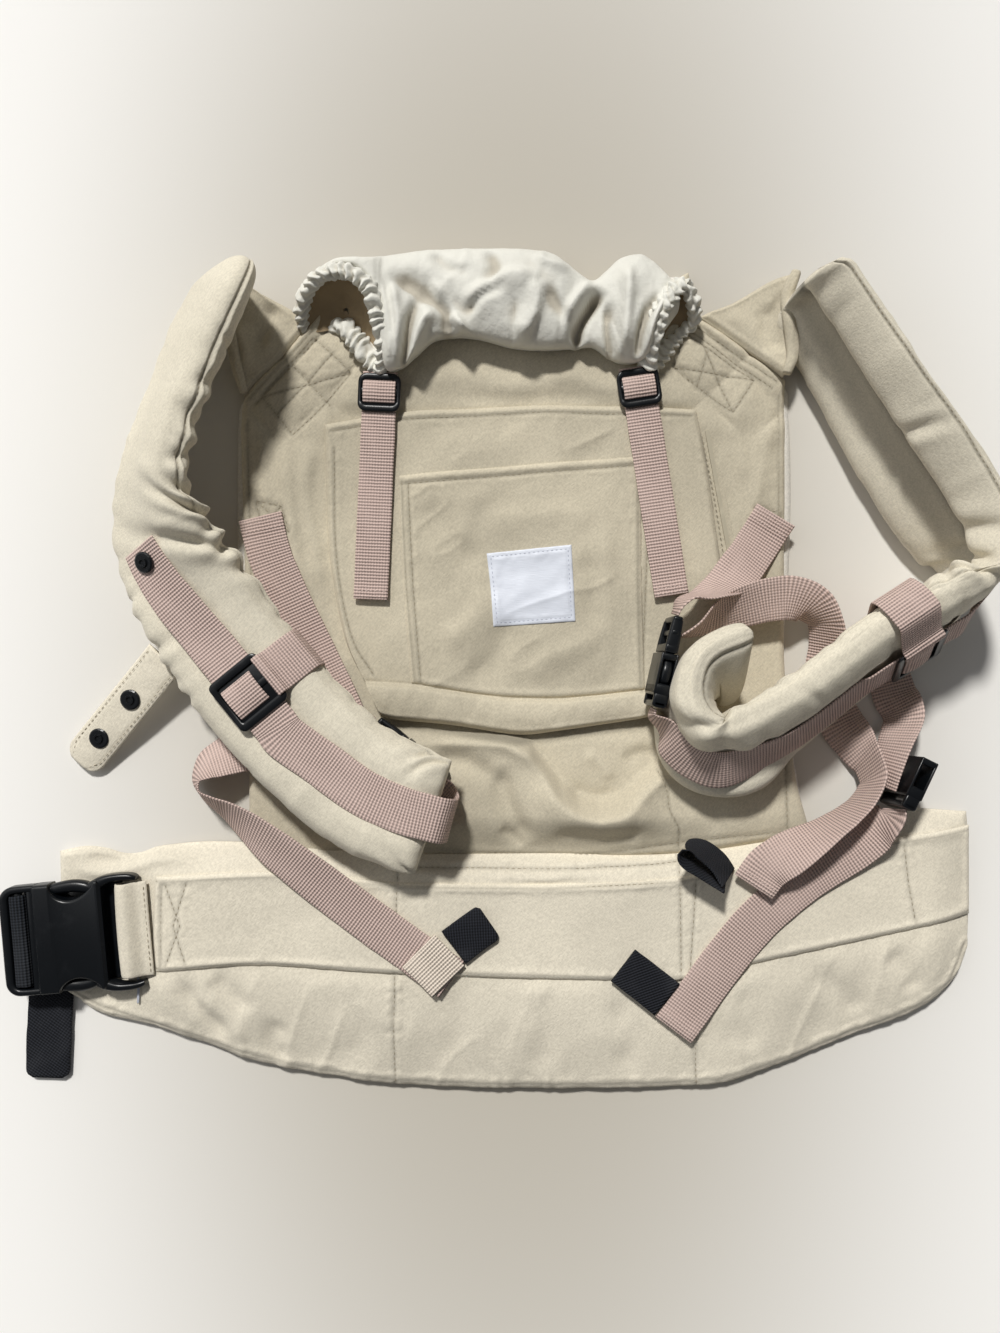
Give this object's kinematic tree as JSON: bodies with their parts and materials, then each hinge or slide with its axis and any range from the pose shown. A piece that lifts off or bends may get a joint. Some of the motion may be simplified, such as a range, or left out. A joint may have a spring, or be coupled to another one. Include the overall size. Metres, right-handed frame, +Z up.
{
  "type": "soft baby carrier",
  "caption": "Soft baby carrier laid flat: canvas body with pockets and bunched hood, padded waist belt and shoulder straps, webbing, sliders and release buckles.",
  "frame": {"origin": "point on the flat underside of the body lining, near the middle of the body, at floor level", "axes": "+X along the waist belt away from its buckle, +Y from the belt towards the hood, +Z up off the floor"},
  "size_m": [0.7107, 0.615, 0.092],
  "materials": {
    "canvas": "brushed cotton twill, sand",
    "cream_lining": "plain cotton, cream",
    "hood_cloth": "thin soft cotton, off-white",
    "webbing": "ribbed woven tape, dusty pink",
    "black_webbing": "twill woven tape, black",
    "black_elastic": "knitted elastic, black",
    "black_plastic": "moulded, semi-gloss black",
    "foam": "closed-cell foam sheet inside a sleeve",
    "satin_label": "woven satin, plain",
    "zip_teeth": "coil, sand",
    "zip_metal": "enamelled"
  },
  "bodies": {
    "carrier": {"body_lining": "cream_lining", "body_panel": "canvas", "shoulder_wing_left": "canvas", "shoulder_wing_right": "canvas", "zip_pocket": "canvas", "slip_pocket": "canvas", "pocket_label": "satin_label", "zip_tape": "canvas", "zip_teeth": "zip_teeth", "waist_belt_cover": "canvas", "waist_belt_foam": "foam", "waist_belt_band": "canvas", "waist_buckle_female": "black_plastic", "waist_webbing": "black_webbing", "shoulder_pad_left_cover": "canvas", "shoulder_pad_left_foam": "foam", "shoulder_pad_right_cover": "canvas", "shoulder_pad_right_foam": "foam", "shoulder_strip_left": "webbing", "shoulder_strip_right": "webbing", "side_buckle_socket_left": "black_plastic", "side_buckle_prongs_left": "black_plastic", "side_buckle_socket_right": "black_plastic", "side_buckle_prongs_right": "black_plastic", "side_strap_left": "webbing", "side_strap_right": "webbing", "side_tail_left": "webbing", "side_tail_right": "webbing", "keeper_left": "black_elastic", "keeper_right_side": "black_elastic", "keeper_right_chest": "black_elastic", "chest_strap_right": "webbing", "chest_tail_right": "webbing", "chest_buckle_socket_right": "black_plastic", "pad_snap_left": "black_plastic"},
    "waist_buckle_prong_half": {"waist_buckle_male": "black_plastic", "waist_webbing_tail": "black_webbing", "waist_keeper": "black_elastic"},
    "chest_slider_left_body": {"chest_slider_left": "black_plastic", "chest_wrap_left": "webbing"},
    "chest_slider_right_body": {"chest_slider_right": "black_plastic", "chest_wrap_right": "webbing"},
    "hood_body": {"hood": "hood_cloth", "hood_strap_left": "webbing", "hood_strap_right": "webbing"},
    "tri_glide_left_body": {"tri_glide_left": "black_plastic"},
    "tri_glide_right_body": {"tri_glide_right": "black_plastic"},
    "zip_slider_body": {"zip_slider": "zip_metal"},
    "snap_tab_body": {"snap_tab": "canvas", "tab_snap_inner": "black_plastic", "tab_snap_outer": "black_plastic"}
  },
  "joints": [
    {"name": "waist_buckle_release", "type": "slide", "parent": "carrier", "child": "waist_buckle_prong_half", "axis": [-0.9959, -0.09, 0], "range_m": [0, 0.045]},
    {"name": "chest_slider_left_slide", "type": "slide", "parent": "carrier", "child": "chest_slider_left_body", "axis": [0.6332, -0.7737, 0.0222], "range_m": [-0.008, 0.008]},
    {"name": "chest_slider_right_slide", "type": "slide", "parent": "carrier", "child": "chest_slider_right_body", "axis": [-0.8413, -0.5401, 0.0223], "range_m": [-0.008, 0.008]},
    {"name": "hood_lift", "type": "hinge", "parent": "carrier", "child": "hood_body", "pos_m": [0, 0.3, 0.00615], "axis": [-1, 0, 0], "range_deg": [0, 70]},
    {"name": "tri_glide_left_slide", "type": "slide", "parent": "hood_body", "child": "tri_glide_left_body", "axis": [-0.0428, -0.9991, 0], "range_m": [0, 0.115]},
    {"name": "tri_glide_right_slide", "type": "slide", "parent": "hood_body", "child": "tri_glide_right_body", "axis": [0.1552, -0.9879, 0], "range_m": [0, 0.115]},
    {"name": "zip_slider_slide", "type": "slide", "parent": "carrier", "child": "zip_slider_body", "axis": [-0.1799, 0.9837, 0], "range_m": [0, 0.138]},
    {"name": "snap_tab_lift", "type": "hinge", "parent": "carrier", "child": "snap_tab_body", "pos_m": [-0.2527, 0.0064, 0.0226], "axis": [0.7462, -0.6658, 0], "range_deg": [0, 35]}
  ]
}
